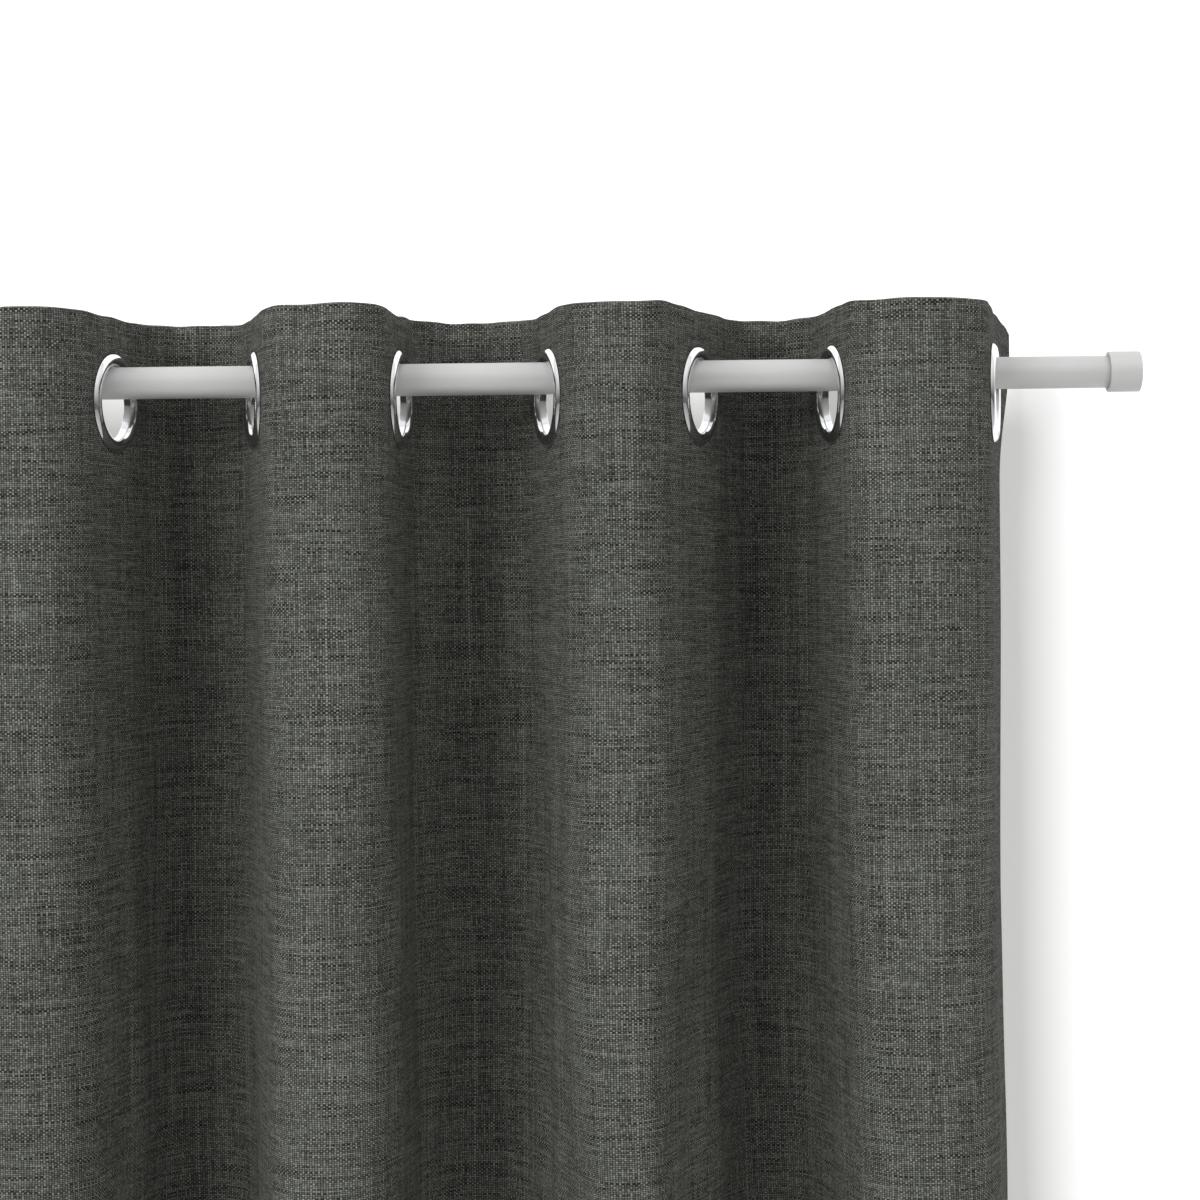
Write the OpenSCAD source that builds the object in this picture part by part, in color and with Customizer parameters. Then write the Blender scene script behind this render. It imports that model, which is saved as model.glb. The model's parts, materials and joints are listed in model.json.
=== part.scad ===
// Eyelet curtain panel on its rod.
// X runs along the rod, -Y faces the room, +Y faces the wall and +Z is up.
// The origin is on the rod axis at the left bracket seat.

/* [Rod] */
// Outside diameter of the rod
rod_d = 19; // [12:0.5:25]
// Wall of the rod tube
rod_wall = 1; // [0.6:0.1:2]
// Running gap between the rod and the top of each eyelet
rod_gap = 0.3; // [0.1:0.1:1]
// Distance from a bracket seat to the nearest eyelet
seat_to_eyelet = 49.5; // [40:0.5:120]
// Distance from a bracket seat to the mouth of the nearest end cap
seat_to_cap = 20; // [12:0.5:60]

/* [End caps] */
// Outside diameter of an end cap
cap_d = 24; // [22:0.5:40]
// Length of an end cap
cap_len = 18.6; // [12:0.2:40]
// How far the rod reaches into an end cap
cap_grip = 14; // [6:0.5:16]
// Gap round the rod inside an end cap
cap_gap = 0.05; // [0.02:0.01:0.1]
// Chamfer on the edges of an end cap
cap_chamfer = 0.8; // [0.2:0.1:1.5]

/* [Eyelets] */
// Bore of an eyelet
eyelet_bore_d = 43; // [36:0.5:50]
// Outside diameter of the eyelet's flange
eyelet_d = 59; // [52:0.5:70]
// Height of the half-round flange
flange_h = 3; // [2:0.1:4]
// Wall of the barrel that passes through the cloth
barrel_wall = 0.8; // [0.5:0.1:1.5]
// Outside diameter of the backing ring
backing_d = 56; // [50:0.5:66]
// Thickness of the backing ring
backing_t = 1.6; // [1:0.1:3]
// Overhang of the rolled rim that holds the backing ring
rim_w = 1.6; // [1:0.1:3]
// Thickness of the rolled rim
rim_t = 0.6; // [0.4:0.1:1.2]
// Gap between an eyelet and the cloth
cloth_gap = 0.2; // [0.1:0.05:0.5]

/* [Cloth] */
// Height of the hung panel from its top edge to its hem
drop = 2134; // [900:1:2700]
// Flat cloth between two eyelets
eyelet_spacing = 165; // [150:1:200]
// Flat cloth outside the first and last eyelets
edge_margin = 82.5; // [60:0.5:100]
// Top edge of the cloth above the eyelet centres
top_margin = 51; // [40:1:70]
// Thickness of the face fabric
fabric_t = 0.8; // [0.4:0.1:1.4]
// Inside gap between the fabric and its turnings
pocket = 1.4; // [1.2:0.1:3]
// Depth of the turned header
header_h = 100; // [90:1:140]
// Depth of the turned bottom hem
hem_h = 90; // [50:1:150]
// Width of the turned side hems
side_hem = 25; // [12:1:40]

/* [Inner pieces] */
// Thickness of the lining
lining_t = 0.3; // [0.2:0.1:0.8]
// Thickness of the stiff heading tape
tape_t = 0.8; // [0.4:0.1:1]
// Gap round the pieces inside the pocket
inner_gap = 0.2; // [0.1:0.05:0.3]
// Gap at the seams of the lining and the label
sewn_gap = 0.05; // [0.02:0.01:0.1]
// Diameter of a corner weight
weight_d = 22; // [15:1:24]
// Thickness of a corner weight
weight_t = 1; // [0.6:0.1:1]
// Width of the blank care label
label_w = 20; // [10:1:24]
// Height of the blank care label
label_h = 40; // [20:1:80]
// Thickness of the care label
label_t = 0.25; // [0.2:0.05:0.4]

/* [Hanging] */
// Mean distance between eyelets on the rod
hung_pitch = 86.7; // [70:0.1:105]
// Mean turn of the eyelets from square to the rod
eyelet_turn = 13.5; // [6:0.5:16]
// Roundness of the folds
fold_round = 0.6; // [0.5:0.02:0.7]

/* [Hidden] */
$fn = 64;

// How much wider or narrower than the mean each fold hangs
bay_uneven = [-0.01, -0.01, -0.04, 0.05, 0.00, -0.06, 0.07];
// How much more or less than the mean each eyelet is turned, in degrees
turn_uneven = [-1, 1, 1, -6, 2, 9, -3, -1.5];

last_eyelet = len(turn_uneven) - 1;
last_bay = len(bay_uneven) - 1;
rod_r = rod_d / 2;
bore_r = eyelet_bore_d / 2;
flange_r = eyelet_d / 2;
barrel_r = bore_r + barrel_wall;
hole_r = barrel_r + cloth_gap;

// The cloth's layers lie between -stack/2 on the room side and stack/2 on the lining side
stack = 2 * fabric_t + pocket;
face_o = -stack / 2;
back_o = stack / 2;
pocket_face_o = face_o + fabric_t;
pocket_back_o = back_o - fabric_t;

// Flat stretch that an eyelet holds straight on each side of its centre
flat_half = flange_r + 1;
fold_len = eyelet_spacing - 2 * flat_half;

eyelet_z = -(bore_r - rod_r - rod_gap);
top_z = eyelet_z + top_margin;
bottom_z = top_z - drop;
header_z = top_z - header_h;
hem_z = bottom_z + hem_h;

function bay_w(b) = hung_pitch * (1 + bay_uneven[b]);
function eyelet_x(i) = i == 0 ? seat_to_eyelet : eyelet_x(i - 1) + bay_w(i - 1);
function eyelet_angle(i) = eyelet_turn + turn_uneven[i];

right_seat_x = eyelet_x(last_eyelet) + seat_to_eyelet;
left_cap_x = -seat_to_cap;
right_cap_x = right_seat_x + seat_to_cap;

// Folds lie by turns on the room side (-1) and on the wall side (1) of the rod
function fold_side(b) = b % 2 == 0 ? -1 : 1;
// The way the cloth runs through eyelet i
function run_dir(i) = [sin(eyelet_angle(i)), fold_side(i) * cos(eyelet_angle(i))];
// Point on the cloth's middle line, this far along it from the centre of eyelet i
function on_flat(i, dist) = [eyelet_x(i), 0] + dist * run_dir(i);

function bezier(p, t) =
    pow(1 - t, 3) * p[0] + 3 * pow(1 - t, 2) * t * p[1]
    + 3 * (1 - t) * t * t * p[2] + t * t * t * p[3];
function bezier_run(p, t) =
    (1 - t) * (1 - t) * (p[1] - p[0]) + 2 * (1 - t) * t * (p[2] - p[1])
    + t * t * (p[3] - p[2]);

// Half a fold, from its eyelet's flat stretch to the crest. The last half of a fold runs
// from its crest to the next eyelet, so its curve is laid from that eyelet backwards.
function half_fold(start, run, crest) =
    let (rise = abs(crest.y - start.y), reach = abs(crest.x - start.x))
    [
        start,
        start + fold_round * rise / abs(run.y) * run,
        crest - [fold_round * reach * sign(crest.x - start.x), 0],
        crest
    ];
function crest_x(b) = (on_flat(b, flat_half).x + on_flat(b + 1, -flat_half).x) / 2;
function first_half(b, depth) =
    half_fold(on_flat(b, flat_half), run_dir(b), [crest_x(b), fold_side(b) * depth]);
function second_half(b, depth) =
    half_fold(on_flat(b + 1, -flat_half), -run_dir(b + 1), [crest_x(b), fold_side(b) * depth]);

half_steps = 8;
function curve_len(p, k = 0) =
    k == half_steps ? 0
    : norm(bezier(p, (k + 1) / half_steps) - bezier(p, k / half_steps)) + curve_len(p, k + 1);
function depth_error(b, depth) =
    curve_len(first_half(b, depth)) + curve_len(second_half(b, depth)) - fold_len;

// The depth at which a fold uses up the cloth between its eyelets, found by halving
solve_steps = 24;
function find_depth(b, low, high, k = 0) =
    let (middle = (low + high) / 2)
    k == solve_steps ? middle
    : depth_error(b, middle) > 0 ? find_depth(b, low, middle, k + 1)
    : find_depth(b, middle, high, k + 1);
fold_depth = [
    for (b = [0 : last_bay]) find_depth(b, flat_half, flat_half + fold_len)
];

// A station is a point on the cloth's middle line with the unit vector along the cloth
function unit(v) = v / norm(v);
function fold_stations(b) =
    let (rising = first_half(b, fold_depth[b]), falling = second_half(b, fold_depth[b]))
    concat(
        [for (k = [0 : half_steps]) [
            bezier(rising, k / half_steps), unit(bezier_run(rising, k / half_steps))
        ]],
        [for (k = [half_steps - 1 : -1 : 0]) [
            bezier(falling, k / half_steps), -unit(bezier_run(falling, k / half_steps))
        ]]
    );
// The whole width of the cloth, cut this much short at both side edges
function stations(trim) = concat(
    [[on_flat(0, trim - edge_margin), run_dir(0)]],
    [for (b = [0 : last_bay]) each fold_stations(b)],
    [[on_flat(last_eyelet, edge_margin - trim), run_dir(last_eyelet)]]
);
// A station's point moved off the middle line towards the lining side
function off_line(station, o) = station[0] + o * [-station[1].y, station[1].x];

// A layer of the hung cloth between two offsets and two heights
module layer(o_from, o_to, z_from, z_to, trim = 0) {
    line = stations(trim);
    count = len(line);
    translate([0, 0, z_from])
        linear_extrude(height = z_to - z_from)
            polygon(concat(
                [for (k = [0 : count - 1]) off_line(line[k], o_from)],
                [for (k = [count - 1 : -1 : 0]) off_line(line[k], o_to)]
            ));
}

// Places its children at a point of eyelet i's flat cloth, with Z towards the lining side
module on_cloth(i, dist, z) {
    place = on_flat(i, dist);
    run = run_dir(i);
    translate([place.x, place.y, z])
        rotate([0, 0, atan2(run.x, -run.y)])
            rotate([0, 90, 0])
                children();
}

module eyelet_holes() {
    for (i = [0 : last_eyelet])
        on_cloth(i, 0, eyelet_z)
            cylinder(h = 4 * stack, r = hole_r, center = true);
}

module along_x(x) {
    translate([x, 0, 0])
        rotate([0, 90, 0])
            children();
}

module rod_tube() {
    rod_len = right_cap_x - left_cap_x + 2 * cap_grip;
    color("#c9cbcc")
        along_x(left_cap_x - cap_grip)
            difference() {
                cylinder(h = rod_len, r = rod_r);
                translate([0, 0, -1])
                    cylinder(h = rod_len + 2, r = rod_r - rod_wall);
            }
}

// End cap with its mouth at 0, reaching towards +Z
module end_cap() {
    cap_r = cap_d / 2;
    color("#d2d4d5")
        difference() {
            rotate_extrude()
                polygon([
                    [0, 0],
                    [cap_r - cap_chamfer, 0],
                    [cap_r, cap_chamfer],
                    [cap_r, cap_len - cap_chamfer],
                    [cap_r - cap_chamfer, cap_len],
                    [0, cap_len]
                ]);
            translate([0, 0, -1])
                cylinder(h = cap_grip + cap_gap + 1, r = rod_r + cap_gap);
        }
}

module end_cap_left() {
    translate([left_cap_x, 0, 0])
        rotate([0, -90, 0])
            end_cap();
}

module end_cap_right() {
    along_x(right_cap_x)
        end_cap();
}

// Half-round flange on the room side with the barrel and its rolled rim
module eyelet_face(i) {
    seat = -face_o + cloth_gap;
    half_w = (flange_r - bore_r) / 2;
    bead_r = (half_w * half_w + flange_h * flange_h) / (2 * flange_h);
    rim_z = back_o + cloth_gap + backing_t + cloth_gap;
    color("#d9dcde")
        on_cloth(i, 0, eyelet_z)
            rotate_extrude() {
                intersection() {
                    translate([bore_r + half_w, bead_r - flange_h - seat])
                        circle(r = bead_r);
                    translate([bore_r, -seat - flange_h])
                        square([2 * half_w, flange_h]);
                }
                translate([bore_r, -seat])
                    square([barrel_wall, seat + rim_z + rim_t]);
                translate([bore_r, rim_z])
                    square([barrel_wall + rim_w, rim_t]);
            }
}

// Flat backing ring that the barrel's rim holds against the lining side
module eyelet_back(i) {
    snap_gap = 0.05;
    inner = barrel_r + snap_gap;
    outer = backing_d / 2;
    bevel = backing_t / 2;
    color("#d9dcde")
        on_cloth(i, 0, eyelet_z)
            translate([0, 0, back_o + cloth_gap])
                rotate_extrude()
                    polygon([
                        [inner, 0],
                        [outer, 0],
                        [outer, backing_t - bevel],
                        [outer - bevel, backing_t],
                        [inner, backing_t]
                    ]);
}

// One cloth with its header, side hems and bottom hem turned to the lining side
module face_fabric() {
    color("#50514c")
        difference() {
            layer(face_o, back_o, bottom_z, top_z);
            layer(pocket_face_o, pocket_back_o, bottom_z + fabric_t, top_z - fabric_t, fabric_t);
            layer(0, back_o + 1, hem_z, header_z, side_hem);
            eyelet_holes();
        }
}

// Lining sewn inside the frame of the turnings
module lining() {
    color("#e6e3da")
        layer(pocket_back_o, pocket_back_o + lining_t, hem_z + sewn_gap, header_z - sewn_gap,
            side_hem + sewn_gap);
}

module heading_tape() {
    color("#f2f1ec")
        difference() {
            layer(pocket_face_o + inner_gap, pocket_face_o + inner_gap + tape_t,
                header_z, top_z - fabric_t - inner_gap, fabric_t + inner_gap);
            eyelet_holes();
        }
}

// Round weight in a bottom corner of the hem
module hem_weight(i, side) {
    inset = fabric_t + inner_gap + weight_d / 2;
    color("#8b8d8f")
        on_cloth(i, side * (edge_margin - inset), bottom_z + inset)
            cylinder(h = weight_t, r = weight_d / 2, center = true);
}

module hem_weight_left() {
    hem_weight(0, -1);
}

module hem_weight_right() {
    hem_weight(last_eyelet, 1);
}

// Blank label sewn over the side hem on the lining side
module care_label() {
    middle = edge_margin - side_hem / 2;
    color("#f4f4f2")
        on_cloth(last_eyelet, middle, hem_z + label_h / 2)
            translate([-label_h / 2, -label_w / 2, back_o + sewn_gap])
                cube([label_h, label_w, label_t]);
}

rod_tube();
end_cap_left();
end_cap_right();
eyelet_face(0);  // eyelet_1_face
eyelet_back(0);  // eyelet_1_back
eyelet_face(1);  // eyelet_2_face
eyelet_back(1);  // eyelet_2_back
eyelet_face(2);  // eyelet_3_face
eyelet_back(2);  // eyelet_3_back
eyelet_face(3);  // eyelet_4_face
eyelet_back(3);  // eyelet_4_back
eyelet_face(4);  // eyelet_5_face
eyelet_back(4);  // eyelet_5_back
eyelet_face(5);  // eyelet_6_face
eyelet_back(5);  // eyelet_6_back
eyelet_face(6);  // eyelet_7_face
eyelet_back(6);  // eyelet_7_back
eyelet_face(7);  // eyelet_8_face
eyelet_back(7);  // eyelet_8_back
face_fabric();
lining();
heading_tape();
hem_weight_left();
hem_weight_right();
care_label();
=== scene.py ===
import json
import math

import bmesh
import bpy
import numpy as np
from bpy.props import FloatProperty, FloatVectorProperty, IntProperty, PointerProperty
from mathutils import Matrix, Vector

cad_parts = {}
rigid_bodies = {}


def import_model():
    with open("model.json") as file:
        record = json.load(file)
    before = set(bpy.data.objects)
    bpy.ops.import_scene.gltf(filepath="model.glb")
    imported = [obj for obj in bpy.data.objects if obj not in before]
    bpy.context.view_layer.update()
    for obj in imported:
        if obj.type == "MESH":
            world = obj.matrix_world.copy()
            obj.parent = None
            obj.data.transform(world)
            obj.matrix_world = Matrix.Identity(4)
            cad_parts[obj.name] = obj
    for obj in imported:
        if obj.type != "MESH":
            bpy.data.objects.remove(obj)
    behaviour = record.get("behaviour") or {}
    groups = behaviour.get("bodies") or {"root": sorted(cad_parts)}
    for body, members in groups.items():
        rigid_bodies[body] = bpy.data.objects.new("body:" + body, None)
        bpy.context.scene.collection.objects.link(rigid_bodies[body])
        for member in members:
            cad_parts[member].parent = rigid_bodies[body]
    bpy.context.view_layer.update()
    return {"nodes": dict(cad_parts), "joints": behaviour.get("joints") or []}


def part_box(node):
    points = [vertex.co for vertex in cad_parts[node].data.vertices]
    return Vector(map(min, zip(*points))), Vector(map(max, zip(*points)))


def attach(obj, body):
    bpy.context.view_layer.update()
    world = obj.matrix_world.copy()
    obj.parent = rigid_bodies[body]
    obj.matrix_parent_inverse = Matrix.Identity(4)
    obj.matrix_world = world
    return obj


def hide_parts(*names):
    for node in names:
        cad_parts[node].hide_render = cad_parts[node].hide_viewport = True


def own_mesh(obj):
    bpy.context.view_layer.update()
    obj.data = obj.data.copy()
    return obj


bl_info = {
    "name": "Eyelet curtain panel",
    "version": (1, 0, 0),
    "blender": (4, 5, 0),
    "location": "3D View > Sidebar > Curtain",
    "description": "Builds a woven eyelet curtain on its rod around the packed frame",
    "category": "Add Mesh",
}

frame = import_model()
EYELET_COUNT = 8
DRAW_JOINT = "draw"
HOLE_R = 0.024
LINING_LAP = 0.008
LABEL_SIZE = (0.020, 0.040)
THREAD_D = 0.0004
# From an edge that is sewn down to its row of stitches
HEM_STITCH = 0.0025
LINING_STITCH = 0.0055
FLOOR_GAP = 0.012
ROUND_SEGMENTS = 96
STRIP_CLEARANCE = 0.0022
STRIP_FOOT = 0.0035
FRONT_COLUMNS = 36


# ---------------------------------------------------------------- sizes from the frame


def joint_named(name):
    return next(j for j in frame["joints"] if j["name"] == name)


def node_points(name):
    return np.array([v.co for v in frame["nodes"][name].data.vertices], float)


def eyelet_place(number):
    """Where eyelet `number` crosses the rod's axis, its height, and the way the cloth runs
    through it, all read from its ring."""
    points = node_points(f"eyelet_{number}_back")
    low, high = points.min(0), points.max(0)
    centre = (low + high) / 2
    _, _, axes = np.linalg.svd(points - centre, full_matrices=False)
    axis = axes[2] / np.linalg.norm(axes[2])
    run = np.array([axis[1], -axis[0]])
    run = run if run[0] > 0 else -run
    x = centre[0] - centre[1] * axis[0] / axis[1]
    return x, centre[2], math.atan2(run[1], run[0])


EYELETS = [eyelet_place(n) for n in range(1, EYELET_COUNT + 1)]
SLIDES = [DRAW_JOINT] + [f"eyelet_{n}_slide" for n in range(2, EYELET_COUNT)]
TRAVELS = np.array([joint_named(name)["range_m"][1] for name in SLIDES] + [0.0])
# Travels stand in proportion to the distances from the last eyelet, so the others'
# places come from them and every ring keeps its place in the cloth as the panel gathers
SPREAD = EYELETS[-1][0] - EYELETS[0][0]
EYELET_X = EYELETS[-1][0] - TRAVELS * SPREAD / TRAVELS[0]
EYELET_Z = EYELETS[0][1]
EYELET_RUN = np.array([e[2] for e in EYELETS])
FABRIC_LOW, FABRIC_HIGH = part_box("face_fabric")
LINING_LOW, LINING_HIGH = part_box("lining")
ROD_LOW, ROD_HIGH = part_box("rod_tube")
CAP_LOW, CAP_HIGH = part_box("end_cap_right")
TOP_Z = FABRIC_HIGH.z
BOTTOM_Z = FABRIC_LOW.z
HEADER_Z = LINING_HIGH.z
HEM_Z = LINING_LOW.z
ROD_R = (ROD_HIGH.z - ROD_LOW.z) / 2


# ---------------------------------------------------------------- settings


def length(name, about, default, low, high, **more):
    return FloatProperty(
        name=name, description=about, default=default, min=low, max=high, unit="LENGTH", **more)


def colour(name, about, default):
    return FloatVectorProperty(
        name=name, description=about, default=default, min=0.0, max=1.0, size=3,
        subtype="COLOR")


def watts(name, about, default):
    return FloatProperty(name=name, description=about, default=default, min=0.0, max=1000.0)


def tilt(name, about, degrees, most):
    return FloatProperty(
        name=name, description=about, default=math.radians(degrees), min=-most, max=most,
        unit="ROTATION")


class CURTAIN_cloth_settings(bpy.types.PropertyGroup):
    spacing: length("Eyelet spacing", "Flat cloth between two eyelets", 0.165, 0.12, 0.25)
    margin: length(
        "Edge margin", "Flat cloth outside the first and last eyelets", 0.0825, 0.03, 0.15)
    stack: length(
        "Header thickness", "Thickness of the turned header", 0.003, 0.001, 0.006)
    thickness: length(
        "Cloth thickness", "Thickness of the face fabric", 0.0008, 0.0003, 0.002)
    side_hem: length("Side hem", "Width of the turned side hems", 0.025, 0.01, 0.05)
    sway: length("Sway", "How far the folds wander on their way down", 0.006, 0.0, 0.02)
    seed: IntProperty(
        name="Seed", description="Chooses the unevenness of the folds", default=11)


class CURTAIN_weave_settings(bpy.types.PropertyGroup):
    warp_pitch: length(
        "Warp pitch", "Distance between upright threads", 0.0015, 0.0003, 0.004, precision=5)
    weft_pitch: length(
        "Weft pitch", "Distance between level threads", 0.0011, 0.0003, 0.004, precision=5)
    light_yarn: colour(
        "Light yarn", "Colour of the pale yarn on top of the weave", (0.302, 0.312, 0.277))
    dark_yarn: colour(
        "Dark yarn", "Colour of the dark yarn and of the gaps", (0.008, 0.0085, 0.007))
    slub: FloatProperty(
        name="Slub", description="How much thick and thin places show",
        default=1.0, min=0.0, max=1.0, subtype="FACTOR")


class CURTAIN_metal_settings(bpy.types.PropertyGroup):
    flange_h: length(
        "Flange height", "Height of an eyelet's half-round flange", 0.003, 0.001, 0.006)
    washer: length(
        "Washer thickness", "Thickness of an eyelet's backing ring", 0.001, 0.0005, 0.002)
    sheet: length(
        "Eyelet sheet", "Thickness of the pressed eyelet sheet", 0.0006, 0.0003, 0.0015)
    rod_colour: colour("Rod colour", "Colour of the satin steel", (0.73, 0.73, 0.725))
    eyelet_colour: colour(
        "Eyelet colour", "Colour of the polished eyelets", (0.82, 0.83, 0.84))


class CURTAIN_stage_settings(bpy.types.PropertyGroup):
    distance: length("Camera distance", "From the camera to the rod", 1.513, 0.5, 5.0)
    camera_x: length("Camera place", "Camera's place along the rod", 0.4232, -1.0, 2.0)
    camera_z: length(
        "Camera height", "Camera's height from the rod's axis", -0.126, -2.0, 1.0)
    pitch: tilt("Camera pitch", "How far the camera looks down", 0.22, 1.0)
    roll: tilt("Camera roll", "How far the camera is rolled", 0.68, 0.2)
    lens: FloatProperty(
        name="Lens", description="Focal length in millimetres on a 36 mm sensor",
        default=76.5, min=20.0, max=200.0)
    wall_gap: length("Wall gap", "From the rod's axis to the wall", 0.165, 0.09, 1.0)
    left_power: watts("Left light", "Power of the large left light in watts", 60.0)
    right_power: watts("Right light", "Power of the large right light in watts", 24.0)
    wall_power: watts("Wall light", "Power of the light that falls on the wall alone", 80.0)
    rear_power: watts("Rear light", "Power of the light behind the panel in watts", 30.0)


# ---------------------------------------------------------------- shape of the hung cloth


def smooth_step(low, high, value):
    share = np.clip((value - low) / (high - low), 0, 1)
    return share * share * (3 - 2 * share)


class Wander:
    """A smooth uneven line: a few waves with their own lengths and starts."""

    def __init__(self, random, shortest, longest, waves=4):
        self.lengths = np.exp(random.uniform(math.log(shortest), math.log(longest), waves))
        self.starts = random.uniform(0, 2 * math.pi, waves)
        self.sizes = random.uniform(0.5, 1.0, waves)
        self.sizes /= self.sizes.sum()

    def __call__(self, along):
        along = np.asarray(along, float)[..., None]
        return (self.sizes * np.cos(2 * math.pi * along / self.lengths + self.starts)).sum(-1)


class HungCloth:
    """The surface that the hung cloth follows. A point is given by its distance across the
    flat cloth, its distance below the top edge and its offset towards the lining side."""

    half_steps = 20

    def __init__(self, settings):
        random = np.random.default_rng(settings.seed)
        self.spacing = settings.spacing
        self.margin = settings.margin
        self.sway = settings.sway
        self.stack = settings.stack
        self.thickness = settings.thickness
        self.side_hem = settings.side_hem
        self.header = TOP_Z - HEADER_Z + 0.003
        self.hem = HEM_Z - BOTTOM_Z
        self.drop = TOP_Z - BOTTOM_Z
        self.width = 2 * settings.margin + (EYELET_COUNT - 1) * settings.spacing
        self.flange_r = (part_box("eyelet_1_face")[1].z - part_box("eyelet_1_face")[0].z) / 2
        self.eyelet_s = settings.margin + settings.spacing * np.arange(EYELET_COUNT)
        self.eyelet_depth = TOP_Z - EYELET_Z
        self.weight_inset = sum(p.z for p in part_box("hem_weight_left")) / 2 - BOTTOM_Z
        self.x_wander = [Wander(random, 0.5, 1.8) for _ in range(EYELET_COUNT)]
        self.y_wander = [Wander(random, 0.5, 1.8) for _ in range(EYELET_COUNT)]
        self.turn_wander = [Wander(random, 0.4, 1.6) for _ in range(EYELET_COUNT)]
        self.crest_wander = [Wander(random, 0.35, 1.4) for _ in range(EYELET_COUNT - 1)]
        self.round_wander = [Wander(random, 0.35, 1.4) for _ in range(EYELET_COUNT - 1)]
        self.edge_wander = Wander(random, 0.022, 0.09, 7)
        self.edge_slow = Wander(random, 0.10, 0.35, 4)
        self.ripple_across = Wander(random, 0.030, 0.075, 6)
        self.ripple_drift = Wander(random, 0.25, 0.9, 3)
        self.ripple_size = Wander(random, 0.12, 0.6, 4)
        self.rows = {}

    def bay_curve(self, start, start_run, end, end_run, side, lean, rounding, length):
        """Points along one fold from the flat cloth at one eyelet to the next, as long as
        the cloth between them."""
        steps = np.linspace(0, 1, self.half_steps + 1)[:, None]

        def half(begin, run, crest):
            rise = abs(crest[1] - begin[1])
            reach = crest[0] - begin[0]
            first = begin + rounding * rise / max(abs(run[1]), 0.2) * run
            second = crest - np.array([rounding * reach, 0])
            return (
                (1 - steps) ** 3 * begin + 3 * (1 - steps) ** 2 * steps * first
                + 3 * (1 - steps) * steps**2 * second + steps**3 * crest
            )

        def fold(depth):
            crest = np.array([(start[0] + end[0]) / 2 + lean, side * depth])
            rising = half(start, start_run, crest)
            falling = half(end, -end_run, crest)[::-1]
            return np.concatenate([rising, falling[1:]])

        low = max(abs(start[1]), abs(end[1])) + 0.001
        high = low + length
        for _ in range(22):
            middle = (low + high) / 2
            points = fold(middle)
            if np.linalg.norm(np.diff(points, axis=0), axis=1).sum() > length:
                high = middle
            else:
                low = middle
        return fold((low + high) / 2)

    def plan(self, depth):
        """The cloth's line seen from above at this distance below the top edge: distances
        across the flat cloth, points and unit runs."""
        key = round(float(depth), 6)
        if key in self.rows:
            return self.rows[key]
        loose = float(smooth_step(self.header, 0.45, depth))
        freed = float(smooth_step(self.header, 1.4, depth))
        flat = self.flange_r + 0.001 - 0.011 * loose
        centres, runs = [], []
        for i in range(EYELET_COUNT):
            drift = (0.35 * loose + 0.65 * freed) * self.sway
            x = EYELET_X[i] + drift * (self.x_wander[i](depth) - self.x_wander[i](0.1))
            y = 0.6 * drift * self.y_wander[i](depth)
            turn = math.radians(5) * loose * float(self.turn_wander[i](depth))
            angle = EYELET_RUN[i] + turn
            centres.append(np.array([x, y]))
            runs.append(np.array([math.cos(angle), math.sin(angle)]))
        line, across = [], []

        def lay(points, distances):
            line.extend(points)
            across.extend(distances)

        lay(*self.flap(centres[0], -runs[0], flat, 0, depth))
        line.reverse()
        across.reverse()
        for b in range(EYELET_COUNT - 1):
            start = centres[b] + flat * runs[b]
            end = centres[b + 1] - flat * runs[b + 1]
            side = math.copysign(1, runs[b][1])
            lean = 0.002 * float(self.crest_wander[b](0)) + 0.004 * loose * float(
                self.crest_wander[b](depth))
            rounding = 0.6 + 0.05 * loose * float(self.round_wander[b](depth))
            fold = self.bay_curve(
                start, runs[b], end, runs[b + 1], side, lean, rounding,
                self.spacing - 2 * flat)
            steps = np.concatenate([[0], np.cumsum(
                np.linalg.norm(np.diff(fold, axis=0), axis=1))])
            first_s = self.eyelet_s[b] + flat
            lay([centres[b]], [self.eyelet_s[b]])
            lay(fold, first_s + steps / steps[-1] * (self.spacing - 2 * flat))
        lay([centres[-1]], [self.eyelet_s[-1]])
        points, distances = self.flap(centres[-1], runs[-1], flat, -1, depth)
        lay(points, self.width - np.array(distances))
        line, across = np.array(line), np.array(across)
        dense = np.linspace(0, self.width, 1321)
        dense_x = np.interp(dense, across, line[:, 0])
        dense_y = np.interp(dense, across, line[:, 1])
        run = np.stack([np.gradient(dense_x, dense), np.gradient(dense_y, dense)], 1)
        run /= np.linalg.norm(run, axis=1)[:, None]
        self.rows[key] = (dense, dense_x, dense_y, run)
        return self.rows[key]

    def flap(self, centre, run, flat, which, depth):
        """The free cloth outside an end eyelet: flat past the flange and then gently curled
        outwards at the top. Distances are from the cloth's side edge."""
        count = 14
        step = (self.margin - flat) / count
        outward = -1 if which == 0 else 1
        curl = math.radians(0.95) * (1 - 1.1 * float(smooth_step(0.012, 0.10, depth)))
        point = centre + flat * run
        points, distances = [point.copy()], [self.margin - flat]
        angle = math.atan2(run[1], run[0])
        for k in range(count):
            angle -= outward * curl
            point = point + step * np.array([math.cos(angle), math.sin(angle)])
            points.append(point.copy())
            distances.append(self.margin - flat - (k + 1) * step)
        return points, distances

    def creases(self, across, depth):
        """Small sharp folds in the middle of each bay behind the rod, fading downwards."""
        total = np.zeros(len(across))
        fade = 1 - 0.85 * float(smooth_step(0.10, 0.42, depth))
        for b in range(1, EYELET_COUNT - 1, 2):
            gap = across - self.eyelet_s[b] - self.spacing / 2
            gap = gap - 0.004 * float(self.crest_wander[b](0.5 * depth))
            pleat = np.cos(2 * math.pi * gap / 0.0235 + self.crest_wander[b].starts[0])
            total += 0.0028 * fade * np.exp(-((gap / 0.024) ** 2)) * pleat
        return total

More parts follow.
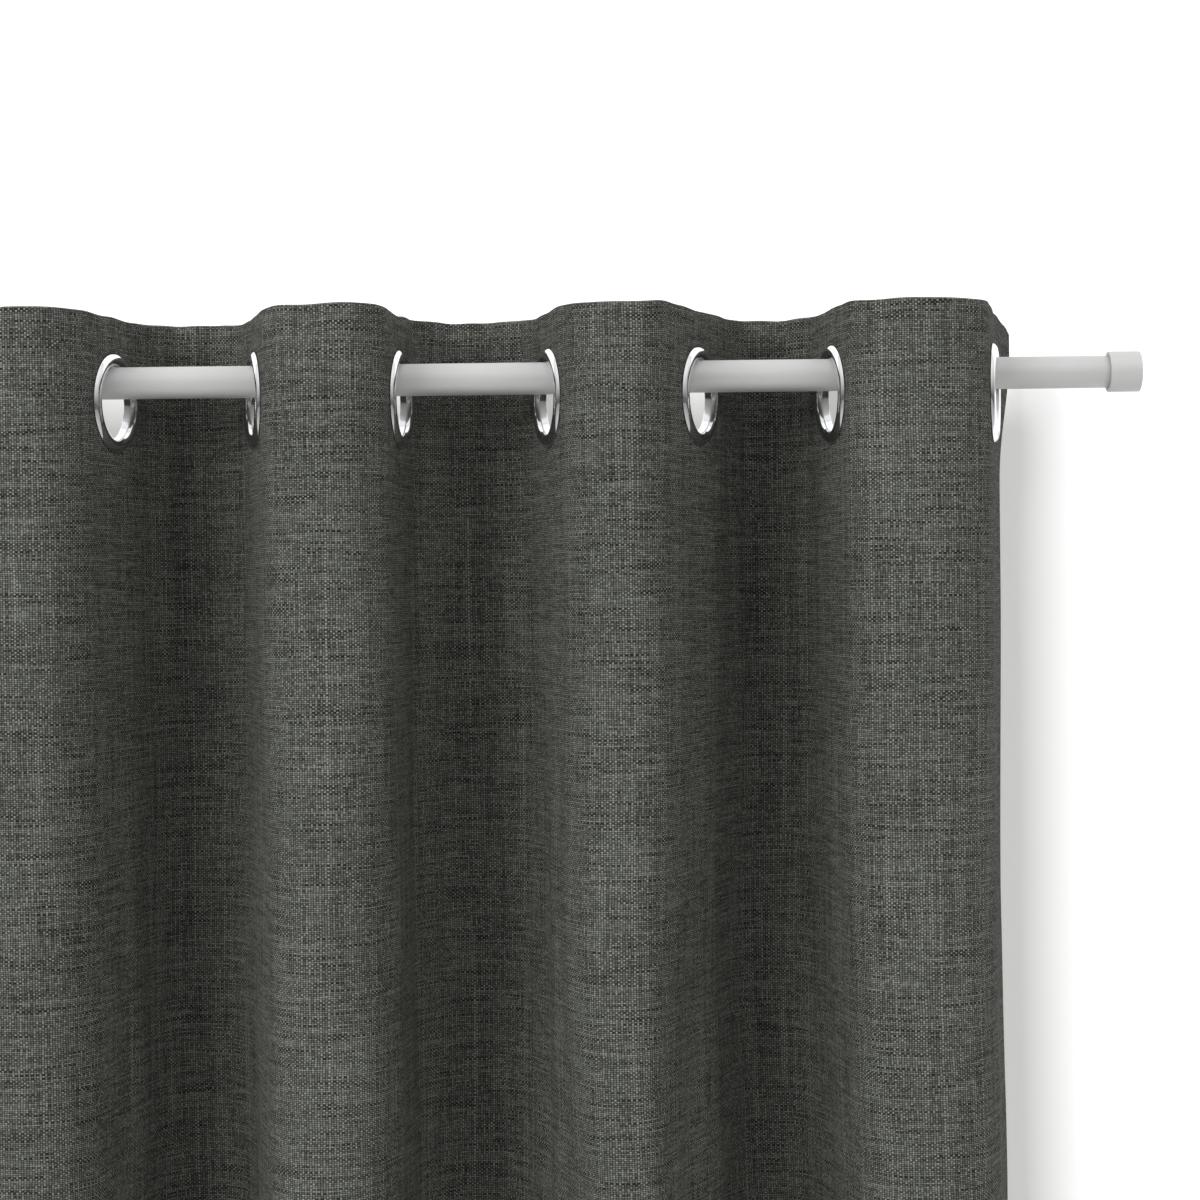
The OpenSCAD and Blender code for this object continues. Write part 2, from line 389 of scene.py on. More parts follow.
    def near_eyelet(self, across, depth):
        """1 on and round an eyelet's flange, 0 well away from it."""
        gap = np.abs(across[:, None] - self.eyelet_s).min(1)
        reach = np.hypot(gap, 0.6 * (depth - self.eyelet_depth))
        return 1 - smooth_step(self.flange_r + 0.001, self.flange_r + 0.028, reach)

    def near_weight(self, across, depth):
        """1 over a corner weight, 0 well away from it."""
        gap = np.minimum(across, self.width - across) - self.weight_inset
        reach = np.hypot(gap, self.drop - depth - self.weight_inset)
        return 1 - smooth_step(0.013, 0.035, reach)

    def points(self, across, depth, offset, own_depth=None):
        """Points on the hung cloth for one row. across, offset and own_depth are arrays or
        numbers; own_depth moves single points up or down from the row's depth."""
        dense, dense_x, dense_y, run = self.plan(depth)
        x = np.interp(across, dense, dense_x)
        y = np.interp(across, dense, dense_y)
        run_x = np.interp(across, dense, run[:, 0])
        run_y = np.interp(across, dense, run[:, 1])
        loose = 1 - np.maximum(
            self.near_eyelet(across, depth), self.near_weight(across, depth))
        wave = self.ripple_across(across + 0.010 * self.ripple_drift(depth))
        size = 0.0004 + 0.0011 * smooth_step(0.07, 0.5, depth)
        ripple = loose * wave * size * (1 + 0.5 * self.ripple_size(across * 0.3 + depth))
        shift = offset + ripple + loose * self.creases(across, depth)
        bump = 0.0011 * self.edge_wander(across) + 0.0009 * self.edge_slow(across)
        down = depth if own_depth is None else own_depth
        from_edge = np.minimum(across, self.width - across)
        corner = -0.0055 * (1 - smooth_step(0.0, 0.045, from_edge))
        corner = corner - 0.0035 * (1 - smooth_step(0.0, 0.009, from_edge))
        z = TOP_Z - down + bump * (1 - smooth_step(0.0, 0.035, down))
        z = z + corner * (1 - smooth_step(0.0, 0.085, down))
        return np.stack([x - shift * run_y, y + shift * run_x, z], 1)


def columns_between(cloth, start, end, step):
    """Distances across the flat cloth, about a step apart and with one at each eyelet."""
    marks = [start] + [s for s in cloth.eyelet_s if start < s < end] + [end]
    columns = []
    for a, b in zip(marks[:-1], marks[1:]):
        count = max(1, round((b - a) / step))
        columns.extend(np.linspace(a, b, count + 1)[:-1])
    return np.array(columns + [end])


def depths_between(start, end, bands):
    """Distances below the top edge. bands says how far apart they are from which depth."""
    depths = [start]
    while depths[-1] < end - 1e-6:
        step = [s for limit, s in bands if depths[-1] >= limit - 1e-9][-1]
        depths.append(min(depths[-1] + step, end))
    if len(depths) > 2 and depths[-1] - depths[-2] < 0.3 * (depths[-2] - depths[-3]):
        depths.pop(-2)
    return depths


# Distances between rows of the grids: (from this depth on, step)
HEADER_BANDS = [(0.0, 0.0042), (0.062, 0.0046)]
DROP_BANDS = [(0.112, 0.010), (0.42, 0.034)]


# ---------------------------------------------------------------- mesh helpers


def deselect_all():
    if bpy.context.mode != "OBJECT":
        bpy.ops.object.mode_set(mode="OBJECT")
    bpy.ops.object.select_all(action="DESELECT")


def make_active(piece):
    deselect_all()
    piece.select_set(True)
    bpy.context.view_layer.objects.active = piece


def finish_piece(piece, name, body, slot, material, nodes=()):
    """Names the piece, gives it its material and body, and hides the frame's parts it stands
    for.
    """
    piece.name = name
    piece.data.name = name
    piece.data.materials.clear()
    piece.data.materials.append(material)
    for face in piece.data.polygons:
        face.use_smooth = True
    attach(piece, body)
    if nodes:
        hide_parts(*nodes)
    return piece


def gather(piece, anchor_x=None):
    """Gives the piece a mesh of its own. anchor_x is not used."""
    anchor_x = EYELET_X[-1] if anchor_x is None else anchor_x
    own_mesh(piece)


def every_cell(across):
    return np.ones((across.shape[0] - 1, across.shape[1] - 1), bool)


def lay_rows(cloth, across, rows, offsets, depths):
    """Points of a grid that hangs with the cloth, row by row."""
    return np.array([
        cloth.points(*row) for row in zip(across, rows, offsets, depths)])


def thicken(piece, thickness):
    make_active(piece)
    modifier = piece.modifiers.new("Thickness", "SOLIDIFY")
    modifier.thickness = thickness
    modifier.offset = 0.0
    modifier.use_even_offset = False
    bpy.ops.object.modifier_apply(modifier=modifier.name)
    return piece


def new_piece(name, mesh):
    piece = bpy.data.objects.new(name, mesh)
    bpy.context.scene.collection.objects.link(piece)
    return piece


def sheet_from_grid(name, points, across, along, keep):
    """A sheet from a grid of points, with its UV map in metres of flat cloth. keep says
    which cells have cloth in them."""
    high, wide = across.shape
    index = np.arange(high * wide).reshape(high, wide)
    faces = [
        (index[r, c], index[r, c + 1], index[r + 1, c + 1], index[r + 1, c])
        for r, c in np.argwhere(keep)
    ]
    mesh = bpy.data.meshes.new(name)
    mesh.from_pydata(points.reshape(-1, 3).tolist(), [], [tuple(map(int, f)) for f in faces])
    flat = np.stack([across.reshape(-1), along.reshape(-1)], 1)
    loops = np.zeros(len(mesh.loops), np.int32)
    mesh.loops.foreach_get("vertex_index", loops)
    layer = mesh.uv_layers.new(name="cloth")
    layer.data.foreach_set("uv", flat[loops].astype(np.float32).reshape(-1))
    shape = bmesh.new()
    shape.from_mesh(mesh)
    bmesh.ops.delete(
        shape, geom=[v for v in shape.verts if not v.link_faces], context="VERTS")
    shape.to_mesh(mesh)
    shape.free()
    return new_piece(name, mesh)


def round_holes(cloth, across, depths, keep):
    """Leaves out the cells inside the eyelets' holes and brings the edges that they leave
    onto the hole's circle. Returns the moved distances."""
    new_across, new_depths = across.copy(), depths.copy()
    middle_s = (across[:-1, :-1] + across[1:, 1:]) / 2
    middle_d = (depths[:-1, :-1] + depths[1:, 1:]) / 2
    gap = np.abs(middle_s[..., None] - cloth.eyelet_s)
    inside = np.hypot(gap.min(-1), middle_d - cloth.eyelet_depth) < HOLE_R
    keep &= ~inside
    for r, c in np.argwhere(inside):
        for i, j in ((r, c), (r + 1, c), (r, c + 1), (r + 1, c + 1)):
            nearest = cloth.eyelet_s[np.abs(cloth.eyelet_s - across[i, j]).argmin()]
            off_s = across[i, j] - nearest
            off_d = depths[i, j] - cloth.eyelet_depth
            reach = math.hypot(off_s, off_d) or 1
            new_across[i, j] = nearest + off_s / reach * HOLE_R
            new_depths[i, j] = cloth.eyelet_depth + off_d / reach * HOLE_R
    return new_across, new_depths


def turned_piece(name, profile, segments=ROUND_SEGMENTS, closed=True):
    """A round piece about the Z axis, drawn out ring by ring along (radius, height)
    points. A closed profile ends on its first ring, and an open one is filled."""
    deselect_all()
    radius, height = profile[0]
    bpy.ops.mesh.primitive_circle_add(vertices=segments, radius=radius, location=(0, 0, 0))
    piece = bpy.context.object
    piece.name = name
    bpy.ops.object.mode_set(mode="EDIT")
    bpy.ops.mesh.select_mode(type="VERT")
    bpy.ops.mesh.select_all(action="SELECT")
    bpy.ops.transform.translate(value=(0, 0, height))
    if not closed:
        bpy.ops.mesh.edge_face_add()
    ends = list(profile) + ([profile[0]] if closed else [])
    for (r0, h0), (r1, h1) in zip(ends[:-1], ends[1:]):
        bpy.ops.mesh.extrude_region_move(TRANSFORM_OT_translate={"value": (0, 0, h1 - h0)})
        bpy.ops.transform.resize(value=(r1 / r0, r1 / r0, 1), center_override=(0, 0, h1))
    bpy.ops.mesh.select_all(action="SELECT")
    if closed:
        bpy.ops.mesh.remove_doubles(threshold=1e-6)
    bpy.ops.mesh.normals_make_consistent(inside=False)
    bpy.ops.object.mode_set(mode="OBJECT")
    return piece


def set_in_place(piece, matrix):
    make_active(piece)
    piece.matrix_world = matrix
    bpy.context.view_layer.update()
    bpy.ops.object.transform_apply(location=True, rotation=True, scale=True)


def place_copy(model, matrix, *finish):
    """A copy of the model in its own place, finished as a piece of its own."""
    piece = new_piece(model.name, model.data.copy())
    set_in_place(piece, matrix)
    return finish_piece(piece, *finish)


def arc(centre, radius, start, end, steps):
    """(radius, height) points along an arc, angles in degrees."""
    return [
        (centre[0] + radius * math.cos(math.radians(a)),
         centre[1] + radius * math.sin(math.radians(a)))
        for a in np.linspace(start, end, steps + 1)
    ]


# ---------------------------------------------------------------- material helpers


class Nodes:
    """Adds and links shader nodes in one tree."""

    def __init__(self, tree):
        self.tree = tree

    def add(self, kind, **values):
        node = self.tree.nodes.new(kind)
        for key, value in values.items():
            setattr(node, key, value)
        return node

    def put(self, socket, value):
        if isinstance(value, bpy.types.NodeSocket):
            self.tree.links.new(value, socket)
        else:
            socket.default_value = value

    def fill(self, node, values):
        """Puts values, or what comes out of other nodes, into a node's named or numbered
        inputs, and gives back its outputs."""
        for key, value in values.items():
            self.put(node.inputs[key], value)
        return node.outputs

    def run(self, kind, *values, **settings):
        """A node with these first inputs, as its first output."""
        return self.fill(self.add(kind, **settings), dict(enumerate(values)))[0]

    def math(self, operation, *values):
        return self.run("ShaderNodeMath", *values, operation=operation)

    def times(self, first, second):
        return self.math("MULTIPLY", first, second)

    def plus(self, first, second):
        return self.math("ADD", first, second)

    def scaled(self, value, factor, shift):
        return self.math("MULTIPLY_ADD", value, factor, shift)

    def point(self, x=0.0, y=0.0, z=0.0):
        return self.run("ShaderNodeCombineXYZ", x, y, z)

    def parts(self, place):
        return self.fill(self.add("ShaderNodeSeparateXYZ"), {0: place})

    def noise(self, place, scale, detail=2.0, roughness=0.5):
        return self.fill(self.add("ShaderNodeTexNoise"), {
            "Vector": place, "Scale": scale, "Detail": detail, "Roughness": roughness})[0]

    def chance(self, value):
        """A number by chance for each whole number."""
        node = self.add("ShaderNodeTexWhiteNoise", noise_dimensions="1D")
        return self.fill(node, {"W": value})[0]

    def spread(self, value, low, high, to_low=0.0, to_high=1.0):
        return self.run("ShaderNodeMapRange", value, low, high, to_low, to_high, clamp=True)

    def mix_colour(self, share, first, second, blend="MIX"):
        node = self.add("ShaderNodeMix", data_type="RGBA", blend_type=blend)
        return self.fill(node, {0: share, 6: first, 7: second})[2]

    def mix_shaders(self, share, first, second):
        return self.run("ShaderNodeMixShader", share, first, second)

    def bump(self, height, strength, distance):
        return self.fill(self.add("ShaderNodeBump"), {
            "Strength": strength, "Distance": distance, "Height": height})[0]

    def group(self, tree, **values):
        return self.fill(self.add("ShaderNodeGroup", node_tree=tree), values)


def new_group(name, inputs, outputs):
    """A shader node group whose sockets are numbers, apart from a Place, and the helper
    that fills it."""
    tree = bpy.data.node_groups.new(name, "ShaderNodeTree")
    for label in inputs:
        kind = "NodeSocketVector" if label == "Place" else "NodeSocketFloat"
        tree.interface.new_socket(label, in_out="INPUT", socket_type=kind)
    for label in outputs:
        tree.interface.new_socket(label, in_out="OUTPUT", socket_type="NodeSocketFloat")
    nodes = Nodes(tree)
    start = nodes.add("NodeGroupInput").outputs
    end = nodes.add("NodeGroupOutput").inputs
    return tree, nodes, start, end


def weave_group():
    """A plain weave: where each yarn lies on top, how high it stands and how much each
    yarn differs. Its pale share is darkened towards the gaps and lifted on the yarn crowns
    by height: painted shade and painted highlight. Place holds metres of flat cloth."""
    if "plain_weave" in bpy.data.node_groups:
        return bpy.data.node_groups["plain_weave"]
    tree, n, start, end = new_group(
        "plain_weave", ["Place", "Warp", "Weft", "Slub"], ["Height", "Warp top", "Pale"])
    slub = start["Slub"]
    across, along, _ = n.parts(start["Place"])
    bend_u = n.scaled(n.noise(start["Place"], 70.0), 0.9, -0.45)
    bend_v = n.scaled(n.noise(n.point(along, across, 3.0), 60.0), 0.9, -0.45)
    warp_at = n.plus(n.math("DIVIDE", across, start["Warp"]), bend_u)
    weft_at = n.plus(n.math("DIVIDE", along, start["Weft"]), bend_v)
    warp_no, weft_no = n.math("FLOOR", warp_at), n.math("FLOOR", weft_at)
    round_u = n.math("SINE", n.times(n.math("FRACT", warp_at), math.pi))
    round_v = n.math("SINE", n.times(n.math("FRACT", weft_at), math.pi))
    top = n.math("ABSOLUTE", n.math("MODULO", n.plus(warp_no, weft_no), 2.0))
    under = n.math("SUBTRACT", 1.0, top)
    high_warp = n.times(n.math("POWER", round_u, 0.6), n.scaled(round_v, 0.55, 0.45))
    high_weft = n.times(n.math("POWER", round_v, 0.6), n.scaled(round_u, 0.4, 0.6))
    height = n.plus(n.times(top, high_warp), n.times(under, high_weft))
    crossing = n.add("ShaderNodeTexWhiteNoise", noise_dimensions="2D")
    crossing = n.fill(crossing, {"Vector": n.point(warp_no, weft_no)})[0]
    luck = n.math("POWER", crossing, 3.0)
    warp_thick = n.noise(n.point(n.times(warp_no, 3.7), n.times(along, 11.0), 1.0), 1.0)
    weft_thick = n.noise(n.point(n.times(across, 27.0), n.times(weft_no, 3.7), 7.0), 1.0)
    warp_slub = n.times(slub, n.spread(warp_thick, 0.32, 0.72, -0.18, 0.30))
    weft_slub = n.times(slub, n.spread(weft_thick, 0.36, 0.74, 0.05, 0.68))
    rare = n.times(n.spread(n.chance(warp_no), 0.88, 1.0), n.spread(warp_thick, 0.38, 0.60))
    rare = n.times(rare, n.times(slub, 0.6))
    pale_warp = n.plus(n.scaled(luck, 0.60, 0.40), n.plus(warp_slub, rare))
    pale_weft = n.plus(n.scaled(luck, 0.30, -0.01), weft_slub)
    pale = n.plus(n.times(top, pale_warp), n.times(under, pale_weft))
    # Painted shade and painted highlight: the pale share goes dark where the yarn dips into the
    # gaps and brighter on its crown
    pale_with_painted_shade = n.times(pale, n.spread(height, 0.22, 0.95, 0.04, 1.35))
    n.put(end["Height"], height)
    n.put(end["Warp top"], top)
    n.put(end["Pale"], n.math("MAXIMUM", n.math("MINIMUM", pale_with_painted_shade, 1.0), 0.0))
    return tree


def noise_group(name, inputs, output, scale=None):
    """A group that puts out soft noise, at its own Scale input or at a fixed scale."""
    if name in bpy.data.node_groups:
        return bpy.data.node_groups[name]
    tree, n, start, end = new_group(name, inputs, [output])
    scale = start["Scale"] if scale is None else scale
    n.put(end[output], n.noise(start["Place"], scale, 3.0, 0.6))
    return tree


def worn_group():
    """Soft uneven clouds of wear and dust, shared by every material. Scale is per metre."""
    return noise_group("worn_cloud", ["Place", "Scale"], "Cloud")


def grain_group():
    """Fine drawn lines on metal. Place is stretched along the grain beforehand."""
    return noise_group("drawn_grain", ["Place"], "Lines", 1.0)


def new_material(name, tint):
    material = bpy.data.materials.new(name)
    material.use_nodes = True
    material.diffuse_color = (*tint, 1)
    shader = material.node_tree.nodes["Principled BSDF"]
    shader.inputs["Base Color"].default_value = (*tint, 1)
    return material, Nodes(material.node_tree), shader


def woven_material(name, dark, pale, warp, weft, slub, bump=0.00022, sheen=0.0):
    """Woven cloth from the sheet's own map: pale warp, dark weft, slubs and soft shade, with
    painted shade in the gaps between yarns and painted highlight on their crowns.
    """
    material, n, shader = new_material(name, [(a + b) / 2 for a, b in zip(dark, pale)])
    place = n.add("ShaderNodeUVMap", uv_map="cloth").outputs[0]
    weave = n.group(weave_group(), Place=place, Warp=warp, Weft=weft, Slub=slub)
    worn = n.group(worn_group(), Place=place, Scale=9.0)["Cloud"]
    # The weave's pale share carries painted shade in the gaps and painted highlight on the yarn
    # crowns
    tint = n.mix_colour(weave["Pale"], (*dark, 1), (*pale, 1))
    shade = n.spread(worn, 0.3, 0.7, 0.93, 1.07)
    n.fill(shader, {
        "Base Color": n.mix_colour(1.0, tint, n.point(shade, shade, shade), "MULTIPLY"),
        "Roughness": n.spread(weave["Height"], 0.0, 1.0, 0.98, 0.82),
        "Sheen Weight": sheen,
        "Sheen Roughness": 0.5,
        "Specular IOR Level": 0.03,
        "Normal": n.bump(weave["Height"], 0.9, bump),
    })
    return material


def steel_material(name, tint, roughness, stretch, grain, metallic=1.0):
    """Metal with a fine grain drawn out along one axis, read from object coordinates."""
    material, n, shader = new_material(name, tint)
    place = n.add("ShaderNodeTexCoord").outputs["Object"]
    drawn = n.run("ShaderNodeVectorMath", place, stretch, operation="MULTIPLY")
    lines = n.group(grain_group(), Place=drawn)["Lines"]
    cloud = n.group(worn_group(), Place=place, Scale=35.0)["Cloud"]
    n.fill(shader, {
        "Metallic": metallic,
        "Roughness": n.plus(
            n.scaled(lines, grain, n.times(cloud, grain * 0.5)), roughness),
        "Normal": n.bump(lines, 0.15, 0.00002),
    })
    return material


def plain_material(name, tint, roughness):
    """Plain thread, paper or paint with a slight unevenness."""
    material, n, shader = new_material(name, tint)
    place = n.add("ShaderNodeTexCoord").outputs["Object"]
    cloud = n.group(worn_group(), Place=place, Scale=120.0)["Cloud"]
    n.put(shader.inputs["Roughness"], n.spread(cloud, 0.3, 0.7, roughness, roughness + 0.08))
    return material


# ---------------------------------------------------------------- pieces

SHAPES = []


def cloth_shape():
    """The hung cloth's surface, worked out once for all the pieces that lie on it."""
    if not SHAPES:
        SHAPES.append(HungCloth(bpy.context.scene.curtain_cloth))
    return SHAPES[0]


def turn_round(radius, steps):
    """Across and offset of a half-round turning, from the room side to the lining side."""
    angles = np.linspace(0, math.pi, steps + 1)[1:-1]
    return radius * (1 - np.sin(angles)), -radius * np.cos(angles)


def build_face_cloth(cloth):
    """One continuous cloth: the hem turned up behind, the front, and the header turned
    down behind, with turned side hems."""
    turn_r = cloth.stack / 2 - cloth.thickness / 2
    rim = cloth.thickness / 2
    fold_across, fold_offset = turn_round(turn_r, 4)
    fold_across = fold_across + rim
    edge = rim + turn_r
    front = columns_between(cloth, edge, cloth.width - edge, cloth.spacing / FRONT_COLUMNS)
    hem_back = np.linspace(cloth.side_hem, edge, 5)
    count = len(front)
    side_s = np.concatenate([hem_back, fold_across[::-1]])
    side_o = np.concatenate([np.full(5, turn_r), fold_offset[::-1]])
    columns = np.concatenate([side_s, front, cloth.width - side_s[::-1]])
    column_o = np.concatenate([side_o, np.full(count, -turn_r), side_o[::-1]])
    left, right = len(side_s), len(side_s) + count

    header_down = depths_between(edge, cloth.header, HEADER_BANDS)
    lower = depths_between(
        cloth.header, cloth.drop - cloth.hem, HEADER_BANDS[-1:] + DROP_BANDS)[1:]
    hem_down = list(np.linspace(cloth.drop - cloth.hem, cloth.drop - edge, 7))[1:]
    rows = [(d, "header", turn_r) for d in header_down[::-1]]
    rows += [(d, "fold", o) for d, o in zip(fold_across[::-1], fold_offset[::-1])]
    rows += [(d, "front", None) for d in header_down[:-1]]
    rows += [(d, "side", None) for d in [cloth.header] + lower]
    rows += [(d, "front", None) for d in hem_down]
    rows += [(cloth.drop - d, "fold", o) for d, o in zip(fold_across, fold_offset)]
    rows += [(d, "header", turn_r) for d in hem_down[::-1]]
    rows += [(cloth.drop - cloth.hem, "header", turn_r)]

    high, wide = len(rows), len(columns)
    depths = np.array([[r[0]] * wide for r in rows])
    across = np.tile(columns, (high, 1))
    offsets = np.array([
        column_o if offset is None else np.full(wide, offset) for _, _, offset in rows])
    main = np.zeros(wide, bool)
    main[left:right] = True
    keep = np.zeros((high - 1, wide - 1), bool)
    for r in range(high - 1):
        both_side = rows[r][1] == "side" and rows[r + 1][1] == "side"
        keep[r] = True if both_side else main[:-1] & main[1:]
    new_across, new_depths = round_holes(cloth, across, depths, keep)
    points = lay_rows(cloth, new_across, depths[:, 0], offsets, new_depths)
    steps = np.linalg.norm(np.diff(points[:, left + count // 2], axis=0), axis=1)
    along = steps.sum() - np.concatenate([[0], np.cumsum(steps)])
    behind = np.array([-1.0 if kind == "header" else 1.0 for _, kind, _ in rows])[:, None]
    along = np.tile(along[:, None], (1, wide)) - behind * (new_depths - depths)
    piece = sheet_from_grid("face_cloth", points, new_across, along, keep)
    return thicken(piece, cloth.thickness)


def build_lining(cloth):
    """Lining laid over the turnings and sewn to them all round."""
    near, far = 0.004, 0.010
    left, right = cloth.side_hem, cloth.width - cloth.side_hem
    start, end = left - LINING_LAP, right + LINING_LAP
    columns = columns_between(cloth, start, end, cloth.spacing / FRONT_COLUMNS)
    columns = np.sort(np.concatenate([columns, [left, left + near, right, right - near]]))
    hem = cloth.drop - cloth.hem
    top, bottom = cloth.header - LINING_LAP, hem + LINING_LAP
    rows = [top, cloth.header, cloth.header + near]
    rows += depths_between(cloth.header + far, hem - far, DROP_BANDS)
    rows += [hem - near, hem, bottom]
    depths = np.array([[d] * len(columns) for d in rows])
    across = np.tile(columns, (len(rows), 1))
    edge_gap = np.minimum.reduce([across - start, end - across, depths - top, bottom - depths])
    under = smooth_step(LINING_LAP, LINING_LAP + 0.006, edge_gap)
    offsets = cloth.stack / 2 + 0.0005 - under * 0.0011
    points = lay_rows(cloth, across, rows, offsets, depths)
    piece = sheet_from_grid(
        "lining_cloth", points, across, cloth.drop - depths, every_cell(across))
    return thicken(piece, 0.0003)


def build_heading_strip(cloth):
    """Stiff strip inside the header, with its own holes."""
    thickness = 0.0006
    middle = -cloth.stack / 2 + cloth.thickness + thickness
    columns = columns_between(
        cloth, STRIP_CLEARANCE, cloth.width - STRIP_CLEARANCE, cloth.spacing / 28)
    rows = depths_between(STRIP_CLEARANCE, cloth.header - STRIP_FOOT, [(0.0, 0.0055)])
    depths = np.array([[d] * len(columns) for d in rows])
    across = np.tile(columns, (len(rows), 1))
    keep = every_cell(across)
    new_across, new_depths = round_holes(cloth, across, depths, keep)
    points = lay_rows(cloth, new_across, rows, [middle] * len(rows), new_depths)
    piece = sheet_from_grid(
        "heading_strip", points, new_across, cloth.drop - new_depths, keep)
    return thicken(piece, thickness)


def stitch_mesh(name, stitches, thick):
    """One mesh of thread stitches, each a short bead between two points, humped away
    from the cloth."""
    sides, rings = 5, 4
    corners, faces = [], []
    for start, end, out in stitches:
        start, end, out = (np.array(p, float) for p in (start, end, out))
        run = end - start
        side = np.cross(run, out)
        side /= np.linalg.norm(side)
        base = len(corners)
        for k in range(rings):
            share = k / (rings - 1)
            swell = 0.35 + 0.65 * math.sin(math.pi * share)
            middle = start + share * run + out * thick * 0.5 * math.sin(math.pi * share)
            for q in range(sides):
                angle = 2 * math.pi * q / sides
                corners.append(middle + swell * thick / 2 * (
                    math.cos(angle) * side + math.sin(angle) * out))
        for k in range(rings - 1):
            for q in range(sides):
                a, b = base + k * sides + q, base + k * sides + (q + 1) % sides
                faces.append((a, b, b + sides, a + sides))
        faces.append(tuple(base + q for q in reversed(range(sides))))
        faces.append(tuple(base + (rings - 1) * sides + q for q in range(sides)))
    mesh = bpy.data.meshes.new(name)
    mesh.from_pydata([tuple(c) for c in corners], [], faces)
    piece = new_piece(name, mesh)
    make_active(piece)
    bpy.ops.object.mode_set(mode="EDIT")
    bpy.ops.mesh.select_all(action="SELECT")
    bpy.ops.mesh.normals_make_consistent(inside=False)
    bpy.ops.object.mode_set(mode="OBJECT")
    return piece


def stitches_across(cloth, depth, start, end, offset, pitch, size):
    """Stitches along a level line of the cloth, lying on one of its faces."""
    found = []
    away = math.copysign(1, offset)
    marks = np.arange(start, end - size, pitch)
    first = cloth.points(marks, depth, offset)
    last = cloth.points(marks + size, depth, offset)
    for a, b in zip(first, last):
        run = (b - a) / np.linalg.norm(b - a)
        found.append((a, b, away * np.array([-run[1], run[0], 0])))
    return found


def stitches_down(cloth, across, top, bottom, offset, pitch, size):
    """Stitches down a line of the cloth, lying on one of its faces."""
    found = []
    away = math.copysign(1, offset)
    where = np.array([across, across + 0.001])
    for depth in np.arange(top, bottom - size, pitch):
        first, beside = cloth.points(where, depth, offset)
        last = cloth.points(where, depth + size, offset)[0]
        run = beside - first
        out = away * np.array([-run[1], run[0], 0]) / np.linalg.norm(run)
        found.append((first, last, out))
    return found


def eyelet_matrix(number):
    """Turns a round piece about Z into eyelet `number`, with +Z on the lining side."""
    angle = EYELET_RUN[number - 1]
    run_x, run_y = math.cos(angle), math.sin(angle)
    return Matrix((
        (0, -run_x, -run_y, EYELET_X[number - 1]),
        (0, -run_y, run_x, 0),
        (-1, 0, 0, EYELET_Z),
        (0, 0, 0, 1),
    ))


def ring_radii(node):
    """Inner and outer radius of a ring node and its reach along its own axis."""
    number = int(node.split("_")[1])
    local = (np.array(eyelet_matrix(number).inverted())
             @ np.concatenate([node_points(node).T, np.ones((1, len(node_points(node))))]))
    radii = np.hypot(local[0], local[1])
    return radii.min(), radii.max(), local[2].min(), local[2].max()


def build_eyelet_ring(settings):
    """Half-round flange, barrel and curled rim of an eyelet."""
    bore, outer, front, _ = ring_radii("eyelet_3_face")
    back = ring_radii("eyelet_3_back")[2] + settings.washer + settings.sheet
    half = (outer - bore) / 2
    rise = settings.flange_h
    foot = front + rise
    bead = (half * half + rise * rise) / (2 * rise)
    reach = math.degrees(math.asin(half / bead))
    sheet = settings.sheet
    barrel = bore + sheet
    clear = foot + 0.00005
    rim_r = sheet * 0.6
    mouth = 0.0008
    profile = arc((bore + half, foot - rise + bead), bead, -90 - reach, -90 + reach, 16)
    profile += [(outer - 0.0001, foot + 0.00003), (outer - 0.0006, clear)]
    profile += [(barrel + 0.0010, clear), (barrel, foot + 0.0008)]
    profile += [(barrel, back - 0.0010), (barrel + 0.0004, back - 0.0006)]
    profile += arc((barrel + 0.0012, back - rim_r), rim_r, -90, 90, 6)
    profile += arc((bore + mouth, back - mouth), mouth, 90, 180, 5)
    profile += [(bore, foot + 0.0010)]
    return turned_piece("eyelet_ring", profile)


def build_eyelet_washer(settings):
    """Flat backing ring with rounded edges."""
    inner, outer, low, _ = ring_radii("eyelet_3_back")
    high = low + settings.washer
    bevel = 0.0003
    profile = [(inner, low + 0.0002), (inner + 0.0002, low)]
    profile += arc((outer - bevel, low + bevel), bevel, -90, 0, 3)
    profile += arc((outer - 2 * bevel, high - 2 * bevel), 2 * bevel, 0, 90, 6)
    profile += arc((inner + bevel, high - bevel), bevel, 90, 180, 4)
    return turned_piece("eyelet_washer", profile)


def along_x_matrix(x, towards):
    """Turns a round piece about Z so that it runs along the rod from x."""
    turn = Matrix.Rotation(towards * math.pi / 2, 4, "Y")
    return Matrix.Translation((x, 0, 0)) @ turn


def build_rod():
    length, wall, bevel = ROD_HIGH.x - ROD_LOW.x, 0.001, 0.0003
    inner = ROD_R - wall
    profile = [(ROD_R - bevel, 0.0), (ROD_R, bevel)]
    profile += [(ROD_R, length * k / 12) for k in range(1, 12)]
    profile += [(ROD_R, length - bevel), (ROD_R - bevel, length), (inner, length), (inner, 0.0)]
    return turned_piece("steel_rod", profile)


def build_cap():
    """End cap with its mouth at 0: a bored cup with a rolled lip and a softly domed end."""
    length = CAP_HIGH.x - CAP_LOW.x
    outer = (CAP_HIGH.z - CAP_LOW.z) / 2
    bore = ROD_R + 0.00005
    edge, depth, tip = 0.0004, 0.014, 0.0012
    profile = [(tip, depth), (bore, depth), (bore, edge), (bore + edge, 0.0)]
    profile += arc((outer - edge, edge), edge, -90, 0, 6)
    profile += arc((outer - edge, length - edge), edge, 0, 84, 7)
    profile += [(outer * 0.72, length - 0.0001), (outer * 0.40, length), (tip, length)]
    return turned_piece("cap", profile, closed=False)


def build_weight():
    low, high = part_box("hem_weight_left")
    radius = (high.z - low.z) / 2
    half, bevel, tip = 0.0005, 0.0002, 0.0010
    profile = [(tip, -half)]
    profile += arc((radius - bevel, -half + bevel), bevel, -90, 0, 3)
    profile += arc((radius - bevel, half - bevel), bevel, 0, 90, 3)
    profile += [(tip, half)]
    return turned_piece("weight", profile, 64, closed=False)


